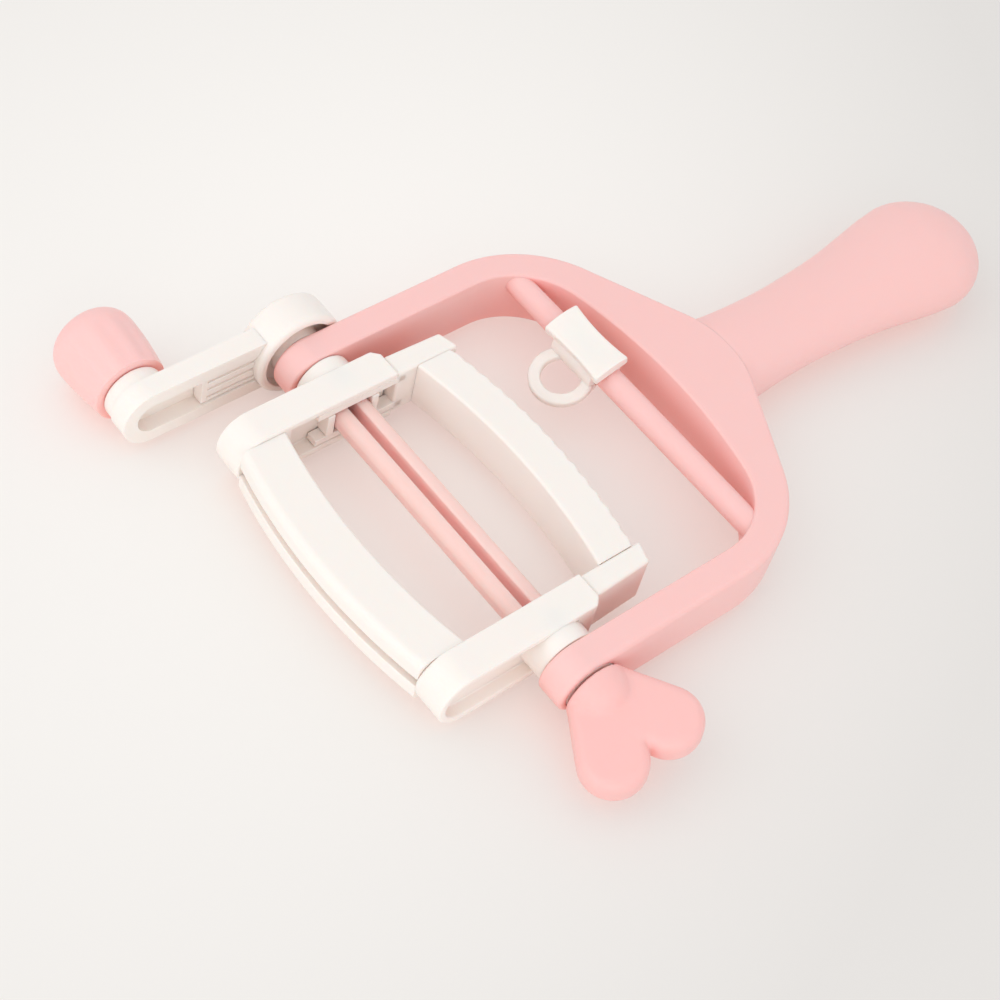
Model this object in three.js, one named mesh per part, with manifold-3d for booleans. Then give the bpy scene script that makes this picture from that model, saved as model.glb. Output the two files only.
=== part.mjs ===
// Hand-cranked pom-pom maker: a bow with a grip carries a winding frame that a crank turns.
// Millimetres, +Z up. The origin lies on the winding frame's axis, midway between the bow's arms.
// +X runs towards the grip and +Y towards the crank.
import * as THREE from "three";
import { mergeVertices } from "three/addons/utils/BufferGeometryUtils.js";
import Module from "manifold-3d";

// Clearances: between pieces that slide or turn, and between pieces that are pressed together.
const RUN = 0.3;
const SEAT = 0.3;
const ROUND_STEPS = 36;
const SMALL_STEPS = 20;
const CUT_REACH = 20;

// Bow: two arms and a crown, all of one height.
const BOW_HALF_HEIGHT = 9.1;
const ARM_INNER = 54.4;
const ARM_WALL = 9;
const ARM_OUTER = ARM_INNER + ARM_WALL;
const ARM_END_CENTRE = -1;
const CROWN_INNER = 80.6;
const CROWN_INNER_RADIUS = 160;
const CROWN_INNER_CORNER = 23;
const SHOULDER_X = 53;
const SHOULDER_RADIUS = 37;
const SHOULDER_SLOPE = THREE.MathUtils.degToRad(27);
const NOSE_RADIUS = 31;
const BOW_EDGE = 1.2;

// Grip: an oval stem that swells into a palm end, pushed onto the bow's tang.
const GRIP_OVERLAP = 14;
const GRIP_NECK = 14.6;
const GRIP_WAIST = 13.9;
const GRIP_WAIST_X = 128;
const GRIP_SHOULDER = 15.6;
const GRIP_SHOULDER_X = 155.5;
const GRIP_BULB = 20.3;
const GRIP_BULB_X = 187;
const GRIP_END = 208;
const GRIP_FLATNESS = 0.63;
const TANG_HALF_WIDTH = 6;
const TANG_HALF_HEIGHT = 4;
const TANG_LENGTH = 34;

// Guide rod across the bow and the yarn guide that slides on it.
const ROD_X = 67.5;
const ROD_Z = 4.7;
const ROD_RADIUS = 3.7;
const ROD_END = 55;
const GUIDE_TILT = 16;
const CLIP_Y = 19.75;
const CLIP_HALF_LENGTH = 11.45;
const CLIP_HALF_WIDTH = 5.9;
const CLIP_TOP = 7;
const CLIP_PLATE = 2.9;
const CLIP_CROWN = 0.9;
const CLIP_WAIST = 0.8;
const CLIP_DIP = 1.2;
const CLIP_WALL = 2.1;
const CLIP_OVERHANG = 3;
const CLIP_MOUTH = THREE.MathUtils.degToRad(47);
const RING_Y = 19.5;
const RING_OUTER = 9.6;
const RING_INNER = 5.9;
const RING_THICKNESS = 2.6;
const RING_EDGE = 0.5;
const RING_OFFSET = 9.45;
const RING_LOW = -3;

// End bars of the winding frame: sleeves with a pocket inside and a recess outside.
const BAR_INNER = 39;
const BAR_OUTER = 49.4;
const BAR_HALF_HEIGHT = 9.2;
const BAR_NEAR_END = -38;
const BAR_FAR_END = 14.3;
const BAR_WALL = 2.3;
const BAR_WEB = 2.4;
const POCKET_DEPTH = 4.4;
const POCKET_START = -21;
const SLEEVE_CHAMFER = 2.2;
const RECESS_END = 6.3;

// Journals that turn in the bow's arms.
const COLLAR_RADIUS = 8.7;
const JOURNAL_RADIUS = 7.8;
const SPIGOT_HALF = 3.6;
const SPIGOT_LENGTH = 8;

// Curved bars that carry the yarn: a groove for scissors runs along the outer side, and the far
// bar's outer edge is toothed.
const BAR_SAGITTA = 4.1;
const CURVE_HALF_HEIGHT = 8;
const CURVE_EDGE = 0.8;
const BAR_EDGE = 0.8;
const GROOVE_HALF_HEIGHT = 1.6;
const GROOVE_DEPTH = 6;
const NEAR_INNER = 27.2;
const NEAR_WIDTH = 14.2;
const FAR_INNER = 25.4;
const FAR_WIDTH = 12.4;
const TOOTH_PITCH = 5;
const TOOTH_DEPTH = 0.5;
const TENON_LENGTH = 3;
const TENON_ROOT = 1.5;
const TENON_INSET = 3.6;
const TENON_HALF_WIDTH = 2.2;
const TENON_HALF_HEIGHT = 3.4;

// Sliders that carry the far curved bar out of the sleeves.
const SLIDER_END = 35.6;
const SLIDER_OUTER = 46.6;
const SLIDER_TIP_OUTER = 45.8;
const SLIDER_SLANT = 2;
const SLIDER_HALF_HEIGHT = 8.2;
const LEG_END = -12;
const LEG_HEIGHT = 2.4;

// Split shaft and its heart-shaped key.
const SHANK_RADIUS = 5.9;
const SLOT_HALF = 1.45;
const PRONG_HALF_HEIGHT = 3.4;
const PRONG_TIP = 47.5;
const SHAFT_ROOT = 44;
const GUIDE_BLOCK = 2.4;
const GUIDE_BLOCK_HALF_HEIGHT = 4;
const KEY_GAP = 0.8;
const KEY_HUB_RADIUS = 9.1;
const HEART_LOBE_RADIUS = 9.3;
const HEART_LOBE_X = 9;
const HEART_LOBE_Y = -83.2;
const HEART_HALF_THICKNESS = 4.6;
const HEART_EDGE = 2.8;
const HEART_APEX = -50;
const HEART_TURN = -10;

// Crank: a hub with a ribbed tongue, an arm that takes the tongue, and a knob on a screw.
const HUB_RADIUS = 14;
const HUB_THICKNESS = 11.6;
const HUB_EDGE = 1.6;
const HUB_CUP_RADIUS = 11.4;
const HUB_CUP_DEPTH = 3.2;
const ARM_GAP = 2.6;
const CRANK_THROW = 46.5;
const CRANK_HALF_HEIGHT = 9.3;
const CRANK_THICKNESS = 6.4;
const CRANK_RECESS_HALF = 5;
const CRANK_FLOOR = 2;
const TONGUE_END = -31;
const TONGUE_GROOVE = 0.9;
const TONGUE_PITCH = 3.1;
const BOSS_RADIUS = 8.8;
const BOSS_LENGTH = 4.5;
const KNOB_BASE_RADIUS = 10.9;
const KNOB_RADIUS = 12.4;
const KNOB_LENGTH = 23.8;
const KNOB_FLUTES = 12;
const KNOB_FLUTE_DEPTH = 0.5;
const SCREW_RADIUS = 1.6;
const SCREW_HEAD_RADIUS = 3.4;
const SCREW_HEAD_HEIGHT = 2.4;
const KNOB_PIN_RADIUS = 2.4;

const wasm = await Module();
wasm.setup();

const pink = new THREE.MeshStandardMaterial({ color: 0xf8bcb4, roughness: 0.42, metalness: 0 });
const white = new THREE.MeshStandardMaterial({ color: 0xf7f1ea, roughness: 0.4, metalness: 0 });
const steel = new THREE.MeshStandardMaterial({ color: 0xb9bcc0, roughness: 0.3, metalness: 1 });

// Joining and cutting

function solidOf(geometry) {
  const bare = geometry.clone();
  bare.deleteAttribute("normal");
  bare.deleteAttribute("uv");
  const merged = mergeVertices(bare, 1e-4);
  return new wasm.Manifold(
    new wasm.Mesh({
      numProp: 3,
      vertProperties: merged.attributes.position.array,
      triVerts: new Uint32Array(merged.index.array),
    }),
  );
}

function geometryOf(solid) {
  const mesh = solid.getMesh();
  const stride = mesh.numProp;
  const positions = new Float32Array(mesh.numVert * 3);
  for (let i = 0; i < mesh.numVert; i++) {
    positions.set(mesh.vertProperties.subarray(i * stride, i * stride + 3), i * 3);
  }
  const geometry = new THREE.BufferGeometry();
  geometry.setAttribute("position", new THREE.BufferAttribute(positions, 3));
  geometry.setIndex(new THREE.BufferAttribute(mesh.triVerts, 1));
  const flat = geometry.toNonIndexed();
  flat.computeVertexNormals();
  return flat;
}

function join(first, ...others) {
  return others.reduce((sum, other) => sum.add(other), first);
}

function cut(first, ...others) {
  return others.reduce((rest, other) => rest.subtract(other), first);
}

// Basic forms

const X = new THREE.Vector3(1, 0, 0);
const Y = new THREE.Vector3(0, 1, 0);
const Z = new THREE.Vector3(0, 0, 1);

// The corners of a closed path, each one once.
function corners(path, curveSteps) {
  const points = path.getPoints(curveSteps);
  return points.filter((p, i) => p.distanceTo(points[(i + 1) % points.length]) > 1e-3);
}

// A profile drawn in the two other axes, extruded along one axis from one value to another.
function prism(profile, axis, from, to, edge = 0, edgeSteps = 1, curveSteps = 12) {
  const shape = new THREE.Shape(corners(profile, curveSteps));
  shape.holes = profile.holes.map((hole) => new THREE.Path(corners(hole, curveSteps)));
  const geometry = new THREE.ExtrudeGeometry(shape, {
    depth: to - from - 2 * edge,
    bevelEnabled: edge > 0,
    bevelThickness: edge,
    bevelSize: edge,
    bevelOffset: -edge,
    bevelSegments: edgeSteps,
  });
  geometry.translate(0, 0, edge);
  const turn = new THREE.Matrix4();
  if (axis === "x") {
    turn.makeBasis(Y, Z, X).setPosition(from, 0, 0);
  } else if (axis === "y") {
    turn.makeBasis(X, Z, Y.clone().negate()).setPosition(0, to, 0);
  } else {
    turn.setPosition(0, 0, from);
  }
  return solidOf(geometry.applyMatrix4(turn));
}

function box(x0, x1, y0, y1, z0, z1) {
  const geometry = new THREE.BoxGeometry(x1 - x0, y1 - y0, z1 - z0);
  geometry.translate((x0 + x1) / 2, (y0 + y1) / 2, (z0 + z1) / 2);
  return solidOf(geometry);
}

// A round body about a line along Y: the profile lists [radius, y] from low to high y.
function turned(profile, x = 0, z = 0, steps = ROUND_STEPS) {
  const points = profile.map(([radius, y]) => new THREE.Vector2(radius, y));
  const geometry = new THREE.LatheGeometry(points, steps);
  geometry.translate(x, 0, z);
  return solidOf(geometry);
}

function rod(radius, y0, y1, x = 0, z = 0, steps = ROUND_STEPS) {
  return turned([[0, y0], [radius, y0], [radius, y1], [0, y1]], x, z, steps);
}

function outline(points) {
  const shape = new THREE.Shape();
  points.forEach(([u, v], i) => (i ? shape.lineTo(u, v) : shape.moveTo(u, v)));
  shape.closePath();
  return shape;
}

// A bar profile in X and Z: round at its low end, square at its high end.
function roundEnded(low, high, halfHeight) {
  const shape = new THREE.Shape();
  shape.moveTo(high, halfHeight);
  shape.lineTo(low + halfHeight, halfHeight);
  shape.absarc(low + halfHeight, 0, halfHeight, Math.PI / 2, Math.PI * 1.5, false);
  shape.lineTo(high, -halfHeight);
  shape.closePath();
  return shape;
}

// A body for the -Y side of the axis, turned to the other side by mirroring.
function onSide(side, solid) {
  return side < 0 ? solid : solid.mirror([0, 1, 0]);
}

function piece(name, solid, material, group) {
  const mesh = new THREE.Mesh(geometryOf(solid), material);
  mesh.name = name;
  group.add(mesh);
}

// Bow

const shoulderY = ARM_OUTER - SHOULDER_RADIUS;
const flankOffset =
  SHOULDER_X * Math.cos(SHOULDER_SLOPE) + shoulderY * Math.sin(SHOULDER_SLOPE) + SHOULDER_RADIUS;
const noseX = (flankOffset - NOSE_RADIUS) / Math.cos(SHOULDER_SLOPE);
const crownCentre = CROWN_INNER - CROWN_INNER_RADIUS;
const innerCornerY = ARM_INNER - CROWN_INNER_CORNER;
const innerReach = CROWN_INNER_RADIUS - CROWN_INNER_CORNER;
const innerCornerX = crownCentre + Math.sqrt(innerReach ** 2 - innerCornerY ** 2);
const innerCornerAngle = Math.atan2(innerCornerY, innerCornerX - crownCentre);

// The bow from above; a margin grows its outer edge.
function bowOutline(margin = 0) {
  const shape = new THREE.Shape();
  const end = ARM_END_CENTRE - BOW_HALF_HEIGHT;
  const half = Math.PI / 2;
  const outer = ARM_OUTER + margin;
  shape.moveTo(end, -outer);
  shape.lineTo(SHOULDER_X, -outer);
  shape.absarc(SHOULDER_X, -shoulderY, SHOULDER_RADIUS + margin, -half, -SHOULDER_SLOPE, false);
  shape.absarc(noseX, 0, NOSE_RADIUS + margin, -SHOULDER_SLOPE, SHOULDER_SLOPE, false);
  shape.absarc(SHOULDER_X, shoulderY, SHOULDER_RADIUS + margin, SHOULDER_SLOPE, half, false);
  shape.lineTo(end, outer);
  shape.lineTo(end, ARM_INNER);
  shape.absarc(innerCornerX, innerCornerY, CROWN_INNER_CORNER, half, innerCornerAngle, true);
  shape.absarc(crownCentre, 0, CROWN_INNER_RADIUS, innerCornerAngle, -innerCornerAngle, true);
  shape.absarc(innerCornerX, -innerCornerY, CROWN_INNER_CORNER, -innerCornerAngle, -half, true);
  shape.lineTo(end, -ARM_INNER);
  shape.closePath();
  return shape;
}

const crownTip = noseX + NOSE_RADIUS;
const tangEnd = crownTip + TANG_LENGTH;

function tang(margin = 0) {
  const width = TANG_HALF_WIDTH + margin;
  const height = TANG_HALF_HEIGHT + margin;
  return box(CROWN_INNER + 8, tangEnd + margin, -width, width, -height, height);
}

function bowFrame() {
  const slab = prism(bowOutline(), "z", -BOW_HALF_HEIGHT, BOW_HALF_HEIGHT, BOW_EDGE, 2, 8);
  const low = ARM_END_CENTRE - BOW_HALF_HEIGHT;
  const side = roundEnded(low, tangEnd, BOW_HALF_HEIGHT + 0.05);
  const rounded = slab.intersect(prism(side, "y", -ARM_OUTER - 1, ARM_OUTER + 1));
  const bearing = rod(JOURNAL_RADIUS + RUN, -ARM_OUTER - 1, ARM_OUTER + 1);
  const rodSeat = rod(ROD_RADIUS + SEAT, -ROD_END - SEAT, ROD_END + SEAT, ROD_X, ROD_Z);
  return cut(join(rounded, tang()), bearing, rodSeat);
}

function handleGrip() {
  const side = new THREE.Path();
  side.moveTo(GRIP_NECK, crownTip - GRIP_OVERLAP);
  side.lineTo(GRIP_NECK, crownTip);
  side.splineThru([
    new THREE.Vector2(GRIP_WAIST, GRIP_WAIST_X),
    new THREE.Vector2(GRIP_SHOULDER, GRIP_SHOULDER_X),
    new THREE.Vector2(GRIP_BULB, GRIP_BULB_X),
  ]);
  const nose = GRIP_END - GRIP_BULB_X;
  const profile = [[0, crownTip - GRIP_OVERLAP]];
  side.getPoints(4).forEach((p) => profile.push([p.x, p.y]));
  for (let i = 1; i < 8; i++) {
    const angle = (i / 8) * (Math.PI / 2);
    profile.push([GRIP_BULB * Math.cos(angle), GRIP_BULB_X + nose * Math.sin(angle)]);
  }
  profile.push([0, GRIP_END]);
  const points = profile.map(([radius, x]) => new THREE.Vector2(radius, x));
  const geometry = new THREE.LatheGeometry(points, 32);
  geometry.rotateZ(-Math.PI / 2);
  geometry.scale(1, 1, GRIP_FLATNESS);
  const bowSpace = prism(bowOutline(SEAT), "z", -2 * GRIP_BULB, 2 * GRIP_BULB, 0, 1, 8);
  return cut(solidOf(geometry), bowSpace, tang(SEAT));
}

function guideRod() {
  return rod(ROD_RADIUS, -ROD_END, ROD_END, ROD_X, ROD_Z, 28);
}

// Yarn guide: a waisted saddle on a clip that snaps over the rod, with a flat eyelet for the yarn. It
// is drawn about the rod's axis and then tilted, with the eyelet hanging towards the winding frame.
function yarnGuide() {
  const inner = ROD_RADIUS + RUN;
  const outer = inner + CLIP_WALL;
  const low = CLIP_Y - CLIP_HALF_LENGTH;
  const high = CLIP_Y + CLIP_HALF_LENGTH;
  const side = CLIP_HALF_WIDTH;
  const plate = new THREE.Shape();
  plate.moveTo(-side, CLIP_TOP - CLIP_PLATE);
  plate.lineTo(side, CLIP_TOP - CLIP_PLATE);
  plate.lineTo(side, CLIP_TOP);
  plate.quadraticCurveTo(0, CLIP_TOP + 2 * CLIP_CROWN, -side, CLIP_TOP);
  plate.closePath();
  const waist = new THREE.Shape();
  waist.moveTo(-side, low);
  waist.lineTo(side, low);
  waist.quadraticCurveTo(side - 2 * CLIP_WAIST, CLIP_Y, side, high);
  waist.lineTo(-side, high);
  waist.quadraticCurveTo(-side + 2 * CLIP_WAIST, CLIP_Y, -side, low);
  const reach = 2 * outer;
  const peak = CLIP_TOP + CLIP_CROWN;
  const dip = new THREE.Shape();
  dip.moveTo(low, peak);
  dip.quadraticCurveTo(CLIP_Y, peak - 2 * CLIP_DIP, high, peak);
  dip.lineTo(high, reach);
  dip.lineTo(low, reach);
  dip.closePath();
  const mouth = outline([
    [0, 0],
    [-reach * Math.sin(CLIP_MOUTH), -reach * Math.cos(CLIP_MOUTH)],
    [reach * Math.sin(CLIP_MOUTH), -reach * Math.cos(CLIP_MOUTH)],
  ]);
  const clip = cut(
    join(
      prism(plate, "y", low - 1, high + 1).intersect(prism(waist, "z", -reach, reach)),
      rod(outer, low + CLIP_OVERHANG, high - CLIP_OVERHANG),
    ),
    rod(inner, low - 2, high + 2),
    prism(dip, "x", -reach, reach),
    prism(mouth, "y", low - 2, high + 2),
  );
  const eye = new THREE.Shape();
  eye.absarc(-RING_OFFSET, RING_Y, RING_OUTER, 0, 2 * Math.PI, false);
  const hole = new THREE.Path();
  hole.absarc(-RING_OFFSET, RING_Y, RING_INNER, 0, 2 * Math.PI, true);
  eye.holes.push(hole);
  const ring = prism(eye, "z", RING_LOW, RING_LOW + RING_THICKNESS, RING_EDGE, 1, 14);
  const behind = box(-inner, reach, low, high, -reach, reach);
  const guide = join(clip, cut(ring, behind, rod(inner, low, high)));
  return guide.rotate([0, -GUIDE_TILT, 0]).translate([ROD_X, 0, ROD_Z]);
}

// Winding frame

// The curved edge of a bar, at a distance from the axis that grows by the sagitta at mid-length.
function curvedEdge(reach, y) {
  const radius = (BAR_INNER ** 2 + BAR_SAGITTA ** 2) / (2 * BAR_SAGITTA);
  return reach - radius + Math.sqrt(radius ** 2 - y ** 2);
}

// A strip between two curved edges, from above; teeth cut its outer edge.
function curvedStrip(side, inner, outer, halfLength, teeth) {
  const points = [];
  const steps = 16;
  for (let i = 0; i <= steps; i++) {
    const y = -halfLength + (2 * halfLength * i) / steps;
    points.push([side * curvedEdge(inner, y), y]);
  }
  if (teeth) {
    const count = Math.round((2 * halfLength) / TOOTH_PITCH);
    for (let i = count; i > 0; i--) {
      const high = -halfLength + (2 * halfLength * i) / count;
      const low = -halfLength + (2 * halfLength * (i - 1)) / count;
      const middle = (low + high) / 2;
      points.push([side * curvedEdge(outer - TOOTH_DEPTH, high), high]);
      points.push([side * curvedEdge(outer, middle), middle]);
    }
    points.push([side * curvedEdge(outer - TOOTH_DEPTH, halfLength), -halfLength]);
  } else {
    for (let i = steps; i >= 0; i--) {
      const y = -halfLength + (2 * halfLength * i) / steps;
      points.push([side * curvedEdge(outer, y), y]);
    }
  }
  return outline(side < 0 ? points.reverse() : points);
}

function curvedBar(side, inner, width, halfLength, teeth) {
  const outer = inner + width;
  const strip = curvedStrip(side, inner, outer, halfLength, teeth);
  const groove = curvedStrip(side, outer - GROOVE_DEPTH, outer + 4, halfLength + 1, false);
  const tenonX = side * (curvedEdge(inner, halfLength) + TENON_INSET);
  const body = cut(
    prism(strip, "z", -CURVE_HALF_HEIGHT, CURVE_HALF_HEIGHT, CURVE_EDGE, 2),
    prism(groove, "z", -GROOVE_HALF_HEIGHT, GROOVE_HALF_HEIGHT),
  );
  const tenon = box(
    tenonX - TENON_HALF_WIDTH,
    tenonX + TENON_HALF_WIDTH,
    -halfLength - TENON_LENGTH,
    halfLength + TENON_LENGTH,
    -TENON_HALF_HEIGHT,
    TENON_HALF_HEIGHT,
  );
  const root = halfLength - TENON_ROOT;
  const between = box(-2 * outer, 2 * outer, -root, root, -outer, outer);
  return join(body, cut(tenon, between));
}

// The mortise in the piece on the -Y side that takes a curved bar's tenon.
function mortise(side, inner, halfLength) {
  const centre = side * (curvedEdge(inner, halfLength) + TENON_INSET);
  return box(
    centre - TENON_HALF_WIDTH - SEAT,
    centre + TENON_HALF_WIDTH + SEAT,
    -halfLength - TENON_LENGTH - SEAT,
    -halfLength,
    -TENON_HALF_HEIGHT - SEAT,
    TENON_HALF_HEIGHT + SEAT,
  );
}

const curveHalfLength = BAR_INNER - SEAT;
const pocketHalfHeight = BAR_HALF_HEIGHT - BAR_WALL;
const webInner = BAR_INNER + POCKET_DEPTH;
const webOuter = webInner + BAR_WEB;

// An end bar on the -Y side: the sleeve, its collar and its journal, before its bore is made.
function endBarBody() {
  const blank = prism(
    roundEnded(BAR_NEAR_END, BAR_FAR_END, BAR_HALF_HEIGHT),
    "y",
    -BAR_OUTER,
    -BAR_INNER,
    BAR_EDGE,
    1,
  );
  const corner = prism(
    outline([
      [BAR_FAR_END - SLEEVE_CHAMFER - 1, -BAR_OUTER - 1],
      [BAR_FAR_END + 1, -BAR_OUTER - 1],
      [BAR_FAR_END + 1, -BAR_OUTER + SLEEVE_CHAMFER + 1],
    ]),
    "z",
    -CUT_REACH,
    CUT_REACH,
  );
  const recess = prism(
    roundEnded(BAR_NEAR_END + BAR_WALL, RECESS_END, pocketHalfHeight),
    "y",
    -BAR_OUTER - 1,
    -webOuter,
  );
  const pocket = box(
    POCKET_START,
    BAR_FAR_END + 1,
    -webInner,
    -BAR_INNER + 1,
    -pocketHalfHeight,
    pocketHalfHeight,
  );
  const collar = turned([
    [0, -ARM_OUTER],
    [JOURNAL_RADIUS, -ARM_OUTER],
    [JOURNAL_RADIUS, -ARM_INNER + RUN],
    [COLLAR_RADIUS, -ARM_INNER + RUN],
    [COLLAR_RADIUS, -webOuter],
    [0, -webOuter],
  ]);
  const guides = [-1, 1].map((end) => {
    const near = end * (SHANK_RADIUS + RUN);
    const far = near + end * GUIDE_BLOCK;
    return box(
      Math.min(near, far),
      Math.max(near, far),
      -webInner,
      -BAR_INNER,
      -GUIDE_BLOCK_HALF_HEIGHT,
      GUIDE_BLOCK_HALF_HEIGHT,
    );
  });
  const body = cut(blank, corner, recess, pocket, mortise(-1, NEAR_INNER, curveHalfLength));
  return join(body, collar, ...guides);
}

// On the key side the shaft's shank passes through the journal.
function keySideBar() {
  return cut(endBarBody(), rod(SHANK_RADIUS + RUN, -ARM_OUTER - 1, -BAR_INNER));
}

// On the crank side the journal takes the crank's spigot and screw, and the shaft's tips.
function crankSideBar() {
  const socket = SPIGOT_HALF + SEAT;
  const depth = ARM_OUTER - SPIGOT_LENGTH - SEAT;
  const spigotSpace = box(-socket, socket, depth, ARM_OUTER + 1, -socket, socket);
  const pilot = rod(SCREW_RADIUS + SEAT, PRONG_TIP + 1.5, ARM_OUTER, 0, 0, SMALL_STEPS);
  const tips = rod(SHANK_RADIUS + RUN, BAR_INNER, PRONG_TIP + RUN);
  return cut(onSide(1, endBarBody()), spigotSpace, pilot, tips);
}

// Far half of the frame

function slider() {
  const inner = BAR_INNER + SEAT;
  const start = BAR_FAR_END + SEAT;
  const head = prism(
    outline([
      [start, -inner],
      [start, -SLIDER_OUTER],
      [SLIDER_END - SLIDER_SLANT, -SLIDER_TIP_OUTER],
      [SLIDER_END, -inner],
    ]),
    "z",
    -SLIDER_HALF_HEIGHT,
    SLIDER_HALF_HEIGHT,
    0.6,
    1,
  );
  const legHigh = pocketHalfHeight - RUN;
  const legLow = legHigh - LEG_HEIGHT;
  const tongueOuter = webInner - RUN;
  const legs = [legLow, -legHigh].map((low) =>
    box(LEG_END, start + 3, -tongueOuter, -inner, low, low + LEG_HEIGHT),
  );
  return join(cut(head, mortise(1, FAR_INNER, curveHalfLength)), ...legs);
}

// Key and split shaft

function splitShaft() {
  const shank = rod(SHANK_RADIUS, -ARM_OUTER - 4, PRONG_TIP);
  const flats = [PRONG_HALF_HEIGHT, -PRONG_HALF_HEIGHT - CUT_REACH].map((low) =>
    box(-CUT_REACH, CUT_REACH, -SHAFT_ROOT, PRONG_TIP + 1, low, low + CUT_REACH),
  );
  const slot = box(-SLOT_HALF, SLOT_HALF, -SHAFT_ROOT, PRONG_TIP + 1, -CUT_REACH, CUT_REACH);
  return cut(shank, ...flats, slot);
}

function heartOutline() {
  const reach = Math.hypot(HEART_LOBE_X, HEART_APEX - HEART_LOBE_Y);
  const lean = Math.atan2(HEART_LOBE_X, HEART_APEX - HEART_LOBE_Y);
  const tangent = Math.acos(HEART_LOBE_RADIUS / reach) - lean;
  const notch = Math.acos(HEART_LOBE_X / HEART_LOBE_RADIUS);
  const start = Math.PI / 2 - tangent;
  const side = HEART_LOBE_X + HEART_LOBE_RADIUS * Math.cos(start);
  const shape = new THREE.Shape();
  shape.moveTo(0, HEART_APEX);
  shape.lineTo(-side, HEART_LOBE_Y + HEART_LOBE_RADIUS * Math.sin(start));
  shape.absarc(-HEART_LOBE_X, HEART_LOBE_Y, HEART_LOBE_RADIUS, Math.PI - start, 2 * Math.PI - notch, false);
  shape.absarc(HEART_LOBE_X, HEART_LOBE_Y, HEART_LOBE_RADIUS, Math.PI + notch, 2 * Math.PI + start, false);
  shape.closePath();
  return shape;
}

function heartKey() {
  const face = -ARM_OUTER - KEY_GAP;
  const heart = prism(
    heartOutline(),
    "z",
    -HEART_HALF_THICKNESS,
    HEART_HALF_THICKNESS,
    HEART_EDGE,
    3,
    14,
  ).rotate([0, HEART_TURN, 0]);
  const hub = turned([
    [0, face - 11],
    [KEY_HUB_RADIUS * 0.4, face - 10.5],
    [KEY_HUB_RADIUS * 0.75, face - 8.6],
    [KEY_HUB_RADIUS * 0.95, face - 5.4],
    [KEY_HUB_RADIUS, face - 2],
    [KEY_HUB_RADIUS, face],
    [0, face],
  ]);
  const beyond = box(face, -face, face, 0, face, -face);
  const shankSeat = rod(SHANK_RADIUS + SEAT, -ARM_OUTER - 4 - SEAT, 0);
  return cut(join(heart, hub), beyond, shankSeat);
}

// Crank

const hubFace = ARM_OUTER + RUN;
const hubBack = hubFace + HUB_THICKNESS;
const crankFace = ARM_OUTER + ARM_GAP;
const crankBack = crankFace + CRANK_THICKNESS;
const bossEnd = crankBack + BOSS_LENGTH;
const screwSeat = hubBack - 5;

function crankHub() {
  const disc = turned([
    [0, hubFace],
    [HUB_RADIUS - HUB_EDGE, hubFace],
    [HUB_RADIUS - HUB_EDGE * 0.4, hubFace + HUB_EDGE * 0.3],
    [HUB_RADIUS, hubFace + HUB_EDGE],
    [HUB_RADIUS, hubBack - HUB_EDGE],
    [HUB_RADIUS - HUB_EDGE, hubBack],
    [0, hubBack],
  ]);
  const spigot = box(
    -SPIGOT_HALF,
    SPIGOT_HALF,
    ARM_OUTER - SPIGOT_LENGTH,
    hubFace + 1,
    -SPIGOT_HALF,
    SPIGOT_HALF,
  );
  const half = CRANK_RECESS_HALF - SEAT;
  const front = crankFace + 0.5;
  const tongue = box(TONGUE_END, -HUB_RADIUS + 3, front, crankBack - CRANK_FLOOR - SEAT, -half, half);
  const grooves = [-1, 0, 1].map((row) => {
    const z = row * TONGUE_PITCH;
    const halfGroove = TONGUE_GROOVE / 2;
    return box(TONGUE_END + 2, -HUB_RADIUS - 1, front - 1, front + 1, z - halfGroove, z + halfGroove);
  });
  const cup = cut(
    rod(HUB_CUP_RADIUS, hubFace - 1, hubFace + HUB_CUP_DEPTH),
    rod(JOURNAL_RADIUS, hubFace - 2, hubFace + HUB_CUP_DEPTH + 1),
  );
  const screwHole = rod(SCREW_RADIUS + SEAT, 0, hubBack + 1, 0, 0, SMALL_STEPS);
  const headSpace = rod(SCREW_HEAD_RADIUS + 0.6, screwSeat, hubBack + 1, 0, 0, 24);
  return cut(join(cut(disc, cup), spigot, cut(tongue, ...grooves)), screwHole, headSpace);
}

function crankArm() {
  const plate = prism(
    roundEnded(-CRANK_THROW - CRANK_HALF_HEIGHT, 0, CRANK_HALF_HEIGHT),
    "y",
    crankFace,
    crankBack,
    0.9,
    1,
    14,
  );
  const recess = prism(
    roundEnded(-CRANK_THROW - CRANK_RECESS_HALF, 1, CRANK_RECESS_HALF),
    "y",
    crankFace - 1,
    crankBack - CRANK_FLOOR,
    0,
    1,
    10,
  );
  const hubSpace = rod(HUB_RADIUS + SEAT, crankFace - 1, crankBack + 1);
  const boss = turned(
    [
      [0, crankBack - 1.5],
      [BOSS_RADIUS, crankBack - 1.5],
      [BOSS_RADIUS, bossEnd - 0.8],
      [BOSS_RADIUS - 0.8, bossEnd],
      [0, bossEnd],
    ],
    -CRANK_THROW,
  );
  const pinSeat = rod(KNOB_PIN_RADIUS + SEAT, crankBack - 1, bossEnd + 1, -CRANK_THROW, 0, SMALL_STEPS);
  return cut(join(cut(plate, hubSpace, recess), boss), pinSeat);
}

function screw(shankRadius, tip, seat, x) {
  return turned(
    [
      [0, tip],
      [shankRadius, tip],
      [shankRadius, seat],
      [SCREW_HEAD_RADIUS, seat],
      [SCREW_HEAD_RADIUS, seat + SCREW_HEAD_HEIGHT * 0.6],
      [SCREW_HEAD_RADIUS * 0.6, seat + SCREW_HEAD_HEIGHT],
      [0, seat + SCREW_HEAD_HEIGHT],
    ],
    x,
    0,
    SMALL_STEPS,
  );
}

const knobBase = bossEnd + RUN;
const knobEnd = knobBase + KNOB_LENGTH;
const knobSeat = knobEnd - 5;

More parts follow.
